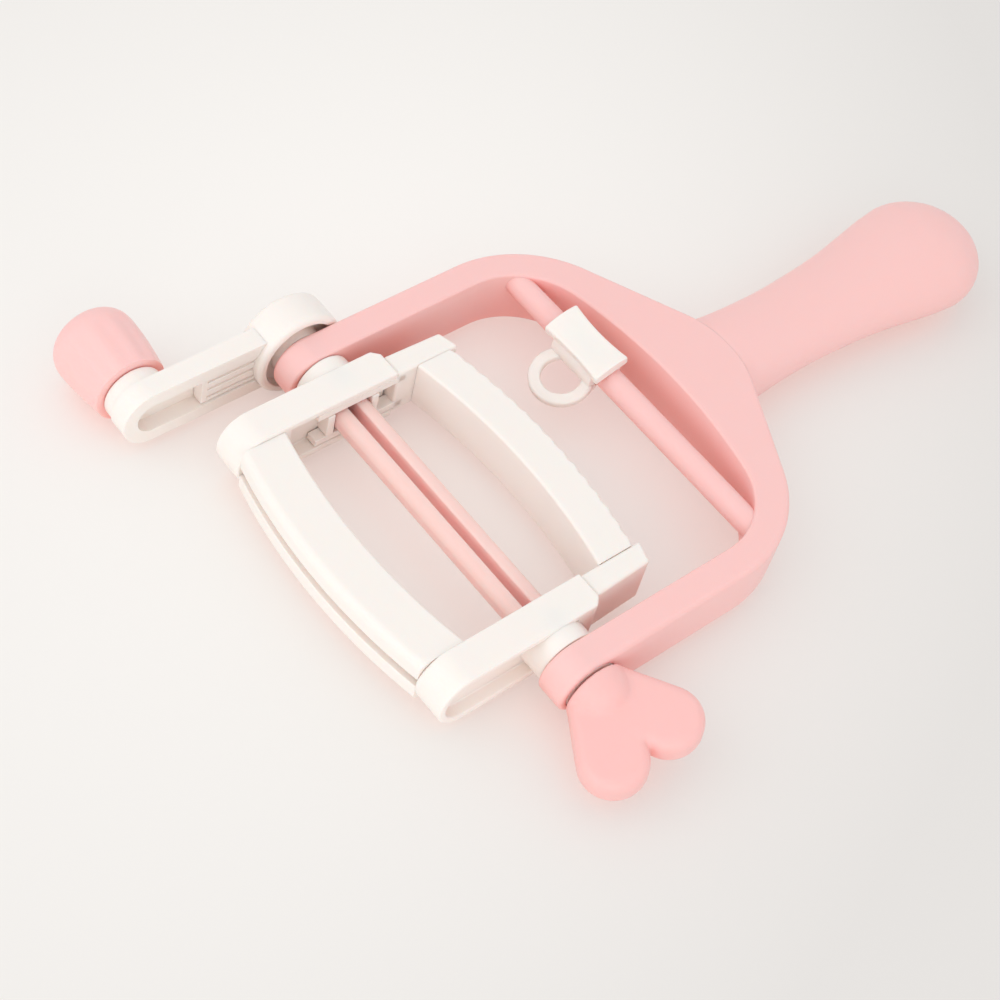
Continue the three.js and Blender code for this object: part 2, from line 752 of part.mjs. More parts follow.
// Knob: a fluted barrel with a domed end and a counterbore for the screw that it turns on.
function crankKnob() {
  const steps = 12;
  const dome = 7;
  const straight = KNOB_LENGTH - dome;
  const profile = [[0, knobBase], [KNOB_BASE_RADIUS, knobBase]];
  for (let i = 1; i <= steps; i++) {
    const along = i / steps;
    const swell = Math.sin(along * Math.PI * 0.5);
    profile.push([KNOB_BASE_RADIUS + (KNOB_RADIUS - KNOB_BASE_RADIUS) * swell, knobBase + along * straight]);
  }
  for (let i = 1; i <= 6; i++) {
    const angle = (i / 6) * (Math.PI / 2) * 0.85;
    profile.push([KNOB_RADIUS - 5 + 5 * Math.cos(angle), knobBase + straight + dome * Math.sin(angle)]);
  }
  profile.push([0, profile.at(-1)[1]]);
  const points = profile.map(([radius, y]) => new THREE.Vector2(radius, y));
  const geometry = new THREE.LatheGeometry(points, KNOB_FLUTES * 3);
  const position = geometry.attributes.position;
  for (let i = 0; i < position.count; i++) {
    const x = position.getX(i);
    const z = position.getZ(i);
    const depth = (KNOB_FLUTE_DEPTH * (1 + Math.cos(KNOB_FLUTES * Math.atan2(z, x)))) / 2;
    const share = 1 - depth / KNOB_RADIUS;
    position.setX(i, x * share);
    position.setZ(i, z * share);
  }
  geometry.translate(-CRANK_THROW, 0, 0);
  const bore = rod(KNOB_PIN_RADIUS + RUN, knobBase - 1, knobEnd + 1, -CRANK_THROW, 0, 24);
  const headSpace = rod(SCREW_HEAD_RADIUS + 1, knobSeat, knobEnd + 1, -CRANK_THROW, 0, 24);
  return cut(solidOf(geometry), bore, headSpace);
}

// Assembly

const pomPomMaker = new THREE.Group();
const frame = new THREE.Group();
const windingFrame = new THREE.Group();
const farHalf = new THREE.Group();
const key = new THREE.Group();
windingFrame.add(farHalf, key);
pomPomMaker.add(frame, windingFrame);

piece("bow_frame", bowFrame(), pink, frame);
piece("handle_grip", handleGrip(), pink, frame);
piece("guide_rod", guideRod(), pink, frame);
piece("yarn_guide", yarnGuide(), white, frame);
piece("key_side_bar", keySideBar(), white, windingFrame);
piece("crank_side_bar", crankSideBar(), white, windingFrame);
piece(
  "near_curved_bar",
  curvedBar(-1, NEAR_INNER, NEAR_WIDTH, curveHalfLength, false),
  white,
  windingFrame,
);
piece("crank_hub", crankHub(), white, windingFrame);
piece("crank_arm", crankArm(), white, windingFrame);
piece("crank_screw", screw(SCREW_RADIUS, PRONG_TIP + 3, screwSeat + SEAT, 0), steel, windingFrame);
piece(
  "knob_screw",
  screw(KNOB_PIN_RADIUS, crankBack - 1 + SEAT, knobSeat + RUN, -CRANK_THROW),
  steel,
  windingFrame,
);
piece("crank_knob", crankKnob(), pink, windingFrame);
piece("far_curved_bar", curvedBar(1, FAR_INNER, FAR_WIDTH, curveHalfLength, true), white, farHalf);
piece("key_side_slider", slider(), white, farHalf);
piece("crank_side_slider", onSide(1, slider()), white, farHalf);
piece("split_shaft", splitShaft(), pink, key);
piece("heart_key", heartKey(), pink, key);

export default pomPomMaker;
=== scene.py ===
# Hand-cranked pom-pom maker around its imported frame. Pieces are built in millimetres in the frame's axes.
import math

import bmesh
import bpy
from mathutils import Euler, Matrix, Vector


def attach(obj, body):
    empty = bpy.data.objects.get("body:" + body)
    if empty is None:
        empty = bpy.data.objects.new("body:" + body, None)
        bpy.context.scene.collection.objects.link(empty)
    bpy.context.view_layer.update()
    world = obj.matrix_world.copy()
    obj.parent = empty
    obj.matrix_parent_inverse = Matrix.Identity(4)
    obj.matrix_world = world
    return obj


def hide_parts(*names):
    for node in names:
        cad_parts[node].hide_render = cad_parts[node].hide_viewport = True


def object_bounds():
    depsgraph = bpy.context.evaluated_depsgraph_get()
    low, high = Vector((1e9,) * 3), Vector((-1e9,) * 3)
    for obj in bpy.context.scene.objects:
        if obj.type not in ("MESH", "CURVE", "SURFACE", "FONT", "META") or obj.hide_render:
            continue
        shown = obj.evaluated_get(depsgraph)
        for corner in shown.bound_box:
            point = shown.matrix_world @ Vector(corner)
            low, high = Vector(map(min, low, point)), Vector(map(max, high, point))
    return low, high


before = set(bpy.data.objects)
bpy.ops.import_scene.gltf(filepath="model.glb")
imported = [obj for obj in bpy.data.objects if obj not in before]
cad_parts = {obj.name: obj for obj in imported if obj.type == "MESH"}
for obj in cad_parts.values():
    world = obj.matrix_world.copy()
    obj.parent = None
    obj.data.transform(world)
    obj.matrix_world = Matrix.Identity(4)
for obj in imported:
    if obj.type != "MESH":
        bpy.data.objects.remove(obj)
cad_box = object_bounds()

MM = 0.001


# Shader building

HOLLOW_SHADE_SAMPLES = 8


def linear(*srgb):
    """A colour given in 0 to 255 as it looks, in the units that the shaders take."""
    shares = [value / 255 for value in srgb]
    return tuple(s / 12.92 if s <= 0.04045 else ((s + 0.055) / 1.055) ** 2.4 for s in shares)


def object_place(tree):
    return tree.nodes.new("ShaderNodeTexCoord").outputs["Object"]


def noise(tree, place, scale, detail):
    node = tree.nodes.new("ShaderNodeTexNoise")
    node.inputs["Scale"].default_value = scale
    node.inputs["Detail"].default_value = detail
    tree.links.new(place, node.inputs["Vector"])
    return node.outputs["Fac"]


def mapped(tree, value, start, end, low=0.0, high=1.0, kind="LINEAR"):
    """A value whose range from start to end is spread over low to high."""
    node = tree.nodes.new("ShaderNodeMapRange")
    node.interpolation_type = kind
    node.inputs["From Min"].default_value = start
    node.inputs["From Max"].default_value = end
    node.inputs["To Min"].default_value = low
    node.inputs["To Max"].default_value = high
    tree.links.new(value, node.inputs["Value"])
    return node.outputs["Result"]


def mixed(tree, share, first, second):
    """A mix of two colours, each of them plain numbers or an output."""
    node = tree.nodes.new("ShaderNodeMixRGB")
    tree.links.new(share, node.inputs["Fac"])
    for colour, socket in ((first, "Color1"), (second, "Color2")):
        if isinstance(colour, tuple):
            node.inputs[socket].default_value = (*colour, 1.0)
        else:
            tree.links.new(colour, node.inputs[socket])
    return node.outputs["Color"]


def hollow_shade_mask(tree, reach, start, end):
    """How far a place lies in a hollow, as the mask for painted shade: 0 where its open share is start or
    more, and 1 from end down.
    """
    node = tree.nodes.new("ShaderNodeAmbientOcclusion")
    node.samples = HOLLOW_SHADE_SAMPLES
    node.inputs["Distance"].default_value = reach * MM
    return mapped(tree, node.outputs["AO"], start, end)


def scaled(tree, output, factor):
    """The output times a number."""
    product = tree.nodes.new("ShaderNodeMath")
    product.operation = "MULTIPLY"
    product.inputs[1].default_value = factor
    tree.links.new(output, product.inputs[0])
    return product.outputs["Value"]


def summed(tree, *outputs):
    """The sum of the outputs, which stays within 0 and 1."""
    total = outputs[0]
    for output in outputs[1:]:
        node = tree.nodes.new("ShaderNodeMath")
        node.operation = "ADD"
        node.use_clamp = True
        tree.links.new(total, node.inputs[0])
        tree.links.new(output, node.inputs[1])
        total = node.outputs["Value"]
    return total


# Materials

TONE_SCALE = 28.0
TONE_DETAIL = 2.0
GRAIN_DETAIL = 3.0
GLOSS_PLAY = 0.05
RELIEF_STRENGTH = 0.25
SURFACE_IOR = 1.46
# Painted shade in hollow places: the colour turns fuller where little of the open surroundings is seen
# within this reach.
HOLLOW_SHADE_REACH = 60
HOLLOW_SHADE_START = 0.5
HOLLOW_SHADE_END = 0.1


def surface(name, slot, colour, tint, deep, roughness, grain, subsurface=0.0, spread=(1, 1, 1)):
    """A material that varies a little in colour, gloss and relief, with painted shade in hollow places: a
    fuller colour where little light reaches.

    The grain is a scale and a height, and the spread is how far red, green and blue light goes inside.
    """
    material = bpy.data.materials.new(name)
    material["slot"] = slot
    material.use_nodes = True
    tree = material.node_tree
    shader = tree.nodes["Principled BSDF"]
    place = object_place(tree)
    uneven = mixed(tree, noise(tree, place, TONE_SCALE, TONE_DETAIL), colour, tint)
    # Painted shade: the colour turns fuller in hollow places.
    hollow_shaded = mixed(tree, hollow_shade_mask(tree, HOLLOW_SHADE_REACH, HOLLOW_SHADE_START, HOLLOW_SHADE_END), uneven, deep)
    tree.links.new(hollow_shaded, shader.inputs["Base Color"])
    grain_scale, grain_height = grain
    fine = noise(tree, place, grain_scale, GRAIN_DETAIL)
    gloss = mapped(tree, fine, 0.0, 1.0, roughness - GLOSS_PLAY, roughness + GLOSS_PLAY)
    tree.links.new(gloss, shader.inputs["Roughness"])
    relief = tree.nodes.new("ShaderNodeBump")
    relief.inputs["Strength"].default_value = RELIEF_STRENGTH
    relief.inputs["Distance"].default_value = grain_height * MM
    tree.links.new(fine, relief.inputs["Height"])
    tree.links.new(relief.outputs["Normal"], shader.inputs["Normal"])
    shader.inputs["IOR"].default_value = SURFACE_IOR
    shader.inputs["Subsurface Weight"].default_value = subsurface
    shader.inputs["Subsurface Radius"].default_value = [reach * MM for reach in spread]
    shader.inputs["Subsurface Scale"].default_value = 1.0
    return material


def shaded_along(material, colour, start, end):
    """Gives a material another colour below a place along Y, with a soft change from start to end."""
    tree = material.node_tree
    socket = tree.nodes["Principled BSDF"].inputs["Base Color"]
    before = socket.links[0].from_socket
    split = tree.nodes.new("ShaderNodeSeparateXYZ")
    tree.links.new(object_place(tree), split.inputs["Vector"])
    change = mapped(tree, split.outputs["Y"], start * MM, end * MM, kind="SMOOTHSTEP")
    tree.links.new(mixed(tree, change, colour, before), socket)


# Each material's third colour is painted shade for hollow places: a fuller pink, a warmer white, and for
# steel its own tint.
PINK_HOLLOW_SHADE = linear(254, 174, 166)
PINK_SPREAD = (1.6, 0.8, 0.6)
PINK_ROUGHNESS = 0.42
MOULD_GRAIN = (900.0, 0.03)
STEEL_TINT = linear(176, 178, 182)

pink = surface("pink_plastic", "pink_plastic", linear(254, 201, 197), linear(254, 204, 201),
               PINK_HOLLOW_SHADE, PINK_ROUGHNESS, MOULD_GRAIN, 0.25, PINK_SPREAD)
# The thin prongs' paler pink is painted light, for light shining through the thin plastic; shaded_along
# gives the shank below them the fuller pink.
thin_pink = surface("thin_pink_plastic", "pink_plastic", linear(254, 215, 208), linear(254, 212, 206),
                    linear(254, 200, 195), PINK_ROUGHNESS, MOULD_GRAIN, 0.8, (4.0, 2.6, 2.4))
shaded_along(thin_pink, linear(253, 196, 192), -48.0, -36.0)
full_pink = surface("full_pink_plastic", "pink_plastic", linear(253, 194, 190), linear(253, 198, 194),
                    PINK_HOLLOW_SHADE, PINK_ROUGHNESS, MOULD_GRAIN, 0.25, PINK_SPREAD)
white = surface("white_plastic", "white_plastic", linear(249, 241, 235), linear(250, 243, 237),
                linear(250, 237, 229), 0.38, MOULD_GRAIN, 0.25, (1.6, 1.0, 0.8))
steel = surface("screw_steel", "screw_steel", linear(190, 192, 196), STEEL_TINT,
                STEEL_TINT, 0.3, (1500.0, 0.01))
steel.node_tree.nodes["Principled BSDF"].inputs["Metallic"].default_value = 1.0


# Mesh building

ROUND_STEPS = 96
SMALL_STEPS = 64
END_STEPS = 32
WELD = 1e-4
SOFTEN_WELD = 1e-3
FLAT_ANGLE = math.radians(0.6)
EDGE_ANGLE = math.radians(35)
CREASE_ANGLE = math.radians(40)
NORMAL_WEIGHT = 80
CUT_REACH = 20
OVER = 1


def add_object(mesh):
    made = bpy.data.objects.new(mesh.name, mesh)
    bpy.context.scene.collection.objects.link(made)
    return made


def keep(bm):
    """Turns a bmesh into an object of the scene."""
    bmesh.ops.remove_doubles(bm, verts=bm.verts, dist=WELD)
    bmesh.ops.recalc_face_normals(bm, faces=bm.faces)
    mesh = bpy.data.meshes.new("draft")
    bm.to_mesh(mesh)
    bm.free()
    return add_object(mesh)


def gather(parts):
    """Makes one piece of several closed bodies."""
    bm = bmesh.new()
    for part in parts:
        bm.from_mesh(part.data)
        bpy.data.objects.remove(part)
    mesh = bpy.data.meshes.new("draft")
    bm.to_mesh(mesh)
    bm.free()
    return add_object(mesh)


def prism(outline, axis, low, high):
    """An outline drawn out along y, with its points in X and Z, or along z, with its points in X and Y."""
    bm = bmesh.new()
    rings = [[bm.verts.new((u, end, v) if axis == "y" else (u, v, end)) for u, v in outline]
             for end in (low, high)]
    bm.faces.new(rings[0])
    bm.faces.new(reversed(rings[1]))
    count = len(outline)
    for i in range(count):
        j = (i + 1) % count
        bm.faces.new((rings[0][i], rings[0][j], rings[1][j], rings[1][i]))
    return keep(bm)


def block(x0, x1, y0, y1, z0, z1):
    return prism([(x0, y0), (x1, y0), (x1, y1), (x0, y1)], "z", z0, z1)


def skin(rings, capped=True):
    """A surface through closed rings of points that all have the same number of points."""
    bm = bmesh.new()
    rows = [[bm.verts.new(p) for p in ring] for ring in rings]
    count = len(rows[0])
    for a, b in zip(rows, rows[1:]):
        for i in range(count):
            j = (i + 1) % count
            bm.faces.new((a[i], a[j], b[j], b[i]))
    if capped:
        bm.faces.new(rows[0])
        bm.faces.new(rows[-1])
    return keep(bm)


def turned(profile, x=0.0, z=0.0, steps=ROUND_STEPS):
    """A solid of revolution about a line along Y, from rows of radius and place."""
    angles = [2 * math.pi * i / steps for i in range(steps)]
    return skin([[(x + r * math.cos(a), y, z + r * math.sin(a)) for a in angles] for r, y in profile])


def cylinder(radius, low, high, x=0.0, z=0.0, steps=ROUND_STEPS):
    return turned([(0, low), (radius, low), (radius, high), (0, high)], x, z, steps)


def turned_ring(profile, x=0.0, steps=ROUND_STEPS, groove=None):
    """The same of a closed profile that stays off the axis; groove gives how deep a place is sunk."""
    rings = []
    for i in range(steps + 1):
        a = 2 * math.pi * i / steps
        reaches = [(r - groove(r, y, a) if groove else r, y) for r, y in profile]
        rings.append([(x + r * math.cos(a), y, r * math.sin(a)) for r, y in reaches])
    return skin(rings, capped=False)


def arc(cx, cy, radius, start, end, steps):
    """Points of an arc, angles in degrees."""
    angles = [math.radians(start + (end - start) * i / steps) for i in range(steps + 1)]
    return [(cx + radius * math.cos(a), cy + radius * math.sin(a)) for a in angles]


def quarter(steps, first=0):
    """The angles of a quarter turn from its first step to its end."""
    return [math.pi / 2 * k / steps for k in range(first, steps + 1)]


def rounded_section(u0, u1, v0, v1, radius, steps=5):
    """A rectangle's outline with rounded corners."""
    points = arc(u1 - radius, v0 + radius, radius, -90, 0, steps)
    points += arc(u1 - radius, v1 - radius, radius, 0, 90, steps)
    points += arc(u0 + radius, v1 - radius, radius, 90, 180, steps)
    points += arc(u0 + radius, v0 + radius, radius, 180, 270, steps)
    return points


def round_ended(low, high, half):
    """A bar's outline in X and Z: round at its low end, square at its high end."""
    return [(high, -half), (high, half)] + arc(low + half, 0, half, 90, 270, END_STEPS)


def settle(piece):
    """Applies the modifiers of a piece."""
    shaped = piece.evaluated_get(bpy.context.evaluated_depsgraph_get())
    mesh = bpy.data.meshes.new_from_object(shaped)
    old = piece.data
    piece.modifiers.clear()
    piece.data = mesh
    bpy.data.meshes.remove(old)
    return piece


def cut(target, *tools):
    """Takes the tools away from a body, and out of the scene."""
    for tool in tools:
        modifier = target.modifiers.new("cut", "BOOLEAN")
        modifier.operation = "DIFFERENCE"
        modifier.solver = "EXACT"
        modifier.object = tool
        settle(target)
        bpy.data.objects.remove(tool)
    return target


def soften(piece, width, segments=3):
    """Rounds the sharp edges of a piece."""
    bm = bmesh.new()
    bm.from_mesh(piece.data)
    bmesh.ops.remove_doubles(bm, verts=bm.verts, dist=SOFTEN_WELD)
    bmesh.ops.dissolve_limit(bm, angle_limit=FLAT_ANGLE, verts=bm.verts, edges=bm.edges)
    bm.to_mesh(piece.data)
    bm.free()
    bevel = piece.modifiers.new("edges", "BEVEL")
    bevel.width = width
    bevel.segments = segments
    bevel.limit_method = "ANGLE"
    bevel.angle_limit = EDGE_ANGLE
    bevel.loop_slide = False
    bevel.use_clamp_overlap = True
    return settle(piece)


def mirrored(piece):
    """The same body on the other side of the XZ plane."""
    piece.data.transform(Matrix.Scale(-1, 4, (0, 1, 0)))
    piece.data.flip_normals()
    return piece


def fit(piece, name, node, body, material):
    """Puts a finished piece in place of its CAD node."""
    piece.name = name
    piece.data.name = name
    piece.data.transform(Matrix.Scale(MM, 4))
    piece.data.materials.clear()
    piece.data.materials.append(material)
    piece.data.shade_smooth()
    piece.data.set_sharp_from_angle(angle=CREASE_ANGLE)
    weighted = piece.modifiers.new("normals", "WEIGHTED_NORMAL")
    weighted.keep_sharp = True
    weighted.weight = NORMAL_WEIGHT
    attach(piece, body)
    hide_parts(node)


# Sizes in millimetres that several pieces share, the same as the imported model's

RUN = 0.3
ARM_INNER = 54.4
ARM_OUTER = 63.4
JOURNAL_RADIUS = 7.8
SHANK_RADIUS = 5.9
BAR_INNER = 39.0
PIVOT_BORE = 2.7


# Bow

BOW_HALF_HEIGHT = 9.1
BOW_INNER_EDGE = 0.8
BOW_OUTER_EDGE = 1.5
BOW_EDGE_STEPS = 4
ARM_END_CENTRE = -1.0
ARM_END_STEPS = 20
ARM_SPACING = 9.0
ARM_STATIONS = 6
CROWN_INNER = 80.6
CROWN_RADIUS = 160.0
CROWN_CORNER = 23.0
CROWN_STATIONS = 64
SHOULDER_X = 53.0
SHOULDER_RADIUS = 37.0
SHOULDER_SLOPE = math.radians(27)
NOSE_RADIUS = 31.0
BEND_STEPS = 40
CREST_STEPS = 24
BEARING_RADIUS = 8.1
BEARING_OVER = 3


def along_path(points, count):
    """Points at even spacing along a line of points."""
    lengths = [0.0]
    for (ax, ay), (bx, by) in zip(points, points[1:]):
        lengths.append(lengths[-1] + math.hypot(bx - ax, by - ay))
    result = []
    k = 0
    for i in range(count + 1):
        goal = lengths[-1] * i / count
        while k < len(points) - 2 and lengths[k + 1] < goal:
            k += 1
        share = (goal - lengths[k]) / (lengths[k + 1] - lengths[k])
        (ax, ay), (bx, by) = points[k], points[k + 1]
        result.append((ax + (bx - ax) * share, ay + (by - ay) * share))
    return result


def bow_ring(pair, lift):
    """The bow's section between an inner and an outer point; a smaller lift folds it round the arm's end."""
    (px, py), (qx, qy) = pair
    width = math.hypot(qx - px, qy - py)
    dx, dy = (qx - px) / width, (qy - py) / width
    half = BOW_HALF_HEIGHT
    top = []
    for a in quarter(BOW_EDGE_STEPS):
        top.append((BOW_INNER_EDGE * (1 - math.cos(a)), half - BOW_INNER_EDGE * (1 - math.sin(a))))
    for a in reversed(quarter(BOW_EDGE_STEPS)):
        top.append((width - BOW_OUTER_EDGE * (1 - math.cos(a)), half - BOW_OUTER_EDGE * (1 - math.sin(a))))
    ring = []
    for v, z in top + [(v, -z) for v, z in reversed(top)]:
        back = abs(z) * math.cos(lift)
        ring.append((px + dx * v - back, py + dy * v, z * math.sin(lift)))
    return ring


def bow():
    shoulder_y = ARM_OUTER - SHOULDER_RADIUS
    offset = SHOULDER_X * math.cos(SHOULDER_SLOPE) + shoulder_y * math.sin(SHOULDER_SLOPE) + SHOULDER_RADIUS
    nose_x = (offset - NOSE_RADIUS) / math.cos(SHOULDER_SLOPE)
    slope = math.degrees(SHOULDER_SLOPE)
    corner_y = ARM_INNER - CROWN_CORNER
    crown_x = CROWN_INNER - CROWN_RADIUS
    corner_x = crown_x + math.sqrt((CROWN_RADIUS - CROWN_CORNER) ** 2 - corner_y ** 2)
    turn = math.degrees(math.atan2(corner_y, corner_x - crown_x))
    outer = arc(SHOULDER_X, -shoulder_y, SHOULDER_RADIUS, -90, -slope, BEND_STEPS)
    outer += arc(nose_x, 0, NOSE_RADIUS, -slope, 0, CREST_STEPS)
    inner = arc(corner_x, -corner_y, CROWN_CORNER, -90, -turn, BEND_STEPS)
    inner += arc(crown_x, 0, CROWN_RADIUS, -turn, 0, CREST_STEPS)
    arm = [ARM_END_CENTRE + ARM_SPACING * i for i in range(ARM_STATIONS)]
    pairs = [((x, -ARM_INNER), (x, -ARM_OUTER)) for x in arm]
    pairs += list(zip(along_path(inner, CROWN_STATIONS), along_path(outer, CROWN_STATIONS)))
    rings = [bow_ring(pairs[0], lift) for lift in quarter(ARM_END_STEPS)[:-1]]
    rings += [bow_ring(pair, math.pi / 2) for pair in pairs]
    rings += [[(x, -y, z) for x, y, z in r] for r in reversed(rings[:-1])]
    body = skin(rings, capped=False)
    for side in (-1, 1):
        low, high = sorted((side * (ARM_INNER - BEARING_OVER), side * (ARM_OUTER + BEARING_OVER)))
        cut(body, cylinder(BEARING_RADIUS, low, high))
    return body


# Grip

# A row is a place along X, a half width, a half height and how square the section is, where 2 is an oval
GRIP_STATIONS = [
    (88, 15.2, 7.6, 2.6), (97, 16.4, 8.75, 2.6), (101, 15.9, 8.95, 2.5), (105, 15.0, 9.0, 2.4),
    (110, 14.5, 9.0, 2.3), (118, 14.1, 8.9, 2.2), (128, 13.9, 8.76, 2.15), (140, 14.35, 9.04, 2.1),
    (155.5, 15.6, 9.83, 2.05), (168, 17.6, 11.1, 2.0), (178, 19.3, 12.2, 2.0), (187, 20.3, 12.8, 2.0),
]
GRIP_SPLINE_STEPS = 6
GRIP_NOSE = 21.0
GRIP_NOSE_RINGS = 14
GRIP_NOSE_QUARTER = 14.5
OVAL_STEPS = 72


def oval(x, w, h, power):
    ring = []
    for i in range(OVAL_STEPS):
        a = 2 * math.pi * i / OVAL_STEPS
        c, s = math.cos(a), math.sin(a)
        ring.append((x, math.copysign(abs(c) ** (2 / power), c) * w,
                     math.copysign(abs(s) ** (2 / power), s) * h))
    return ring


def spline(points, steps):
    """A smooth line through rows of values."""
    result = []
    count = len(points)
    for i in range(count - 1):
        p0, p1, p2 = points[max(i - 1, 0)], points[i], points[i + 1]
        p3 = points[min(i + 2, count - 1)]
        for k in range(steps):
            t = k / steps
            row = []
            for a, b, c, d in zip(p0, p1, p2, p3):
                row.append(0.5 * (2 * b + (c - a) * t + (2 * a - 5 * b + 4 * c - d) * t * t
                                  + (3 * b - a - 3 * c + d) * t ** 3))
            result.append(row)
    result.append(list(points[-1]))
    return result


def grip():
    rings = [oval(*station) for station in spline(GRIP_STATIONS, GRIP_SPLINE_STEPS)]
    x, w, h, power = GRIP_STATIONS[-1]
    for k in range(1, GRIP_NOSE_RINGS + 1):
        a = math.pi / 2 * k / GRIP_NOSE_QUARTER
        rings.append(oval(x + GRIP_NOSE * math.sin(a), w * math.cos(a), h * math.cos(a), power))
    return skin(rings)


# Guide rod and yarn guide

ROD_X = 67.5
ROD_Z = 4.7
ROD_RADIUS = 3.7
ROD_END = 55.0
ROD_EDGE = 0.5
GUIDE_TILT = math.radians(-16)
CLIP_Y = 19.75
CLIP_HALF_LENGTH = 11.45
CLIP_LOW = CLIP_Y - CLIP_HALF_LENGTH
CLIP_HIGH = CLIP_Y + CLIP_HALF_LENGTH
CLIP_HALF_WIDTH = 5.9
CLIP_TOP = 7.0
CLIP_PLATE = 2.9
CLIP_CROWN = 0.9
CLIP_WAIST = 0.8
CLIP_DIP = 0.3
CLIP_EDGE = 0.6
CLIP_EDGE_STEPS = 5
CLIP_HALF_ACROSS = 8
CLIP_STATIONS = 36
JAW_BORE = ROD_RADIUS + RUN
JAW_WALL = 2.1
JAW_INSET = 3.0
JAW_MOUTH = 47
JAW_STEPS = 60
JAW_EDGE = 0.35
EYE_OFFSET = 9.45
EYE_Y = 19.5
EYE_LOW = -3.0
EYE_INNER = 5.9
EYE_OUTER = 9.6
EYE_THICKNESS = 2.6
EYE_EDGE = 0.8
EYE_CUT_PLAY = 0.2
EYE_CUT_OVER = 5


def guide_rod():
    return soften(cylinder(ROD_RADIUS, -ROD_END, ROD_END, ROD_X, ROD_Z, SMALL_STEPS), ROD_EDGE)


def saddle_ring(y, inset):
    """The outline of the guide's plate across the rod: waisted, and flatter and lower at mid-length."""
    middle = max(0.0, 1 - ((y - CLIP_Y) / CLIP_HALF_LENGTH) ** 2)
    half = CLIP_HALF_WIDTH - CLIP_WAIST * middle - inset
    top = CLIP_TOP - CLIP_DIP * middle - inset
    low = CLIP_TOP - CLIP_PLATE + inset
    rise = CLIP_CROWN * (1 - middle)
    edge, steps = CLIP_EDGE, CLIP_EDGE_STEPS
    across = [(half - edge) * (1 - k / CLIP_HALF_ACROSS) for k in range(1, 2 * CLIP_HALF_ACROSS)]
    ring = arc(half - edge, low + edge, edge, -90, 0, steps)
    ring += arc(half - edge, top - edge, edge, 0, 90, steps)
    ring += [(s, top) for s in across]
    ring += arc(edge - half, top - edge, edge, 90, 180, steps)
    ring += arc(edge - half, low + edge, edge, 180, 270, steps)
    return [(s, y, n + (rise * (1 - (s / half) ** 2) if n > top - 2 * edge else 0.0)) for s, n in ring]


def saddle():
    reach = CLIP_HALF_LENGTH - CLIP_EDGE
    rings = []
    for k in range(CLIP_EDGE_STEPS):
        a = math.pi / 2 * (1 - k / CLIP_EDGE_STEPS)
        rings.append(saddle_ring(CLIP_Y - reach - CLIP_EDGE * math.sin(a), CLIP_EDGE * (1 - math.cos(a))))
    for k in range(CLIP_STATIONS + 1):
        rings.append(saddle_ring(CLIP_Y + reach * (2 * k / CLIP_STATIONS - 1), 0.0))
    for a in quarter(CLIP_EDGE_STEPS, 1):
        rings.append(saddle_ring(CLIP_Y + reach + CLIP_EDGE * math.sin(a), CLIP_EDGE * (1 - math.cos(a))))
    return skin(rings)


def eyelet():
    """The flat ring below the rod, cut open where the jaw and the rod go."""
    section = rounded_section(EYE_INNER, EYE_OUTER, 0.0, EYE_THICKNESS, EYE_EDGE)
    rings = []
    for i in range(ROUND_STEPS + 1):
        turn = 2 * math.pi * i / ROUND_STEPS
        rings.append([(r * math.cos(turn) - EYE_OFFSET, EYE_Y + r * math.sin(turn), EYE_LOW + z)
                      for r, z in section])
    return cut(skin(rings, capped=False),
               block(-JAW_BORE, CUT_REACH, CLIP_LOW - EYE_CUT_OVER, CLIP_HIGH + EYE_CUT_OVER,
                     -CUT_REACH, CUT_REACH),
               cylinder(JAW_BORE + EYE_CUT_PLAY, 0, 2 * CUT_REACH, steps=SMALL_STEPS))


def yarn_guide():
    """Drawn about the rod's axis, then tilted so that the eyelet hangs towards the winding frame."""
    start, end = JAW_MOUTH - 90, 270 - JAW_MOUTH
    section = arc(0, 0, JAW_BORE + JAW_WALL, start, end, JAW_STEPS)
    section += reversed(arc(0, 0, JAW_BORE, start, end, JAW_STEPS))
    jaw = soften(prism(section, "y", CLIP_LOW + JAW_INSET, CLIP_HIGH - JAW_INSET), JAW_EDGE)
    made = gather([saddle(), jaw, eyelet()])
    made.data.transform(Matrix.Translation((ROD_X, 0, ROD_Z)) @ Matrix.Rotation(GUIDE_TILT, 4, "Y"))
    return made


# End bars of the winding frame

BAR_OUTER = 49.4
BAR_HALF_HEIGHT = 9.2
BAR_NEAR_END = -38.0
BAR_FAR_END = 14.3
BAR_WALL = 2.3
BAR_EDGE = 0.6
BAR_CHAMFER = 3.2
RECESS_END = 6.3
POCKET_START = -21
POCKET_HALF = BAR_HALF_HEIGHT - BAR_WALL
WEB_INNER = 43.4
WEB_OUTER = 45.8
COLLAR_RADIUS = 8.7
COLLAR_EDGE = 0.35
SHANK_BORE = SHANK_RADIUS + RUN
SPIGOT_HOLE_END = -47.8
GUIDE_BLOCK_WIDTH = 2.4
GUIDE_BLOCK_HALF = 4
GUIDE_BLOCK_SINK = 0.2
LEG_EDGE = 0.3


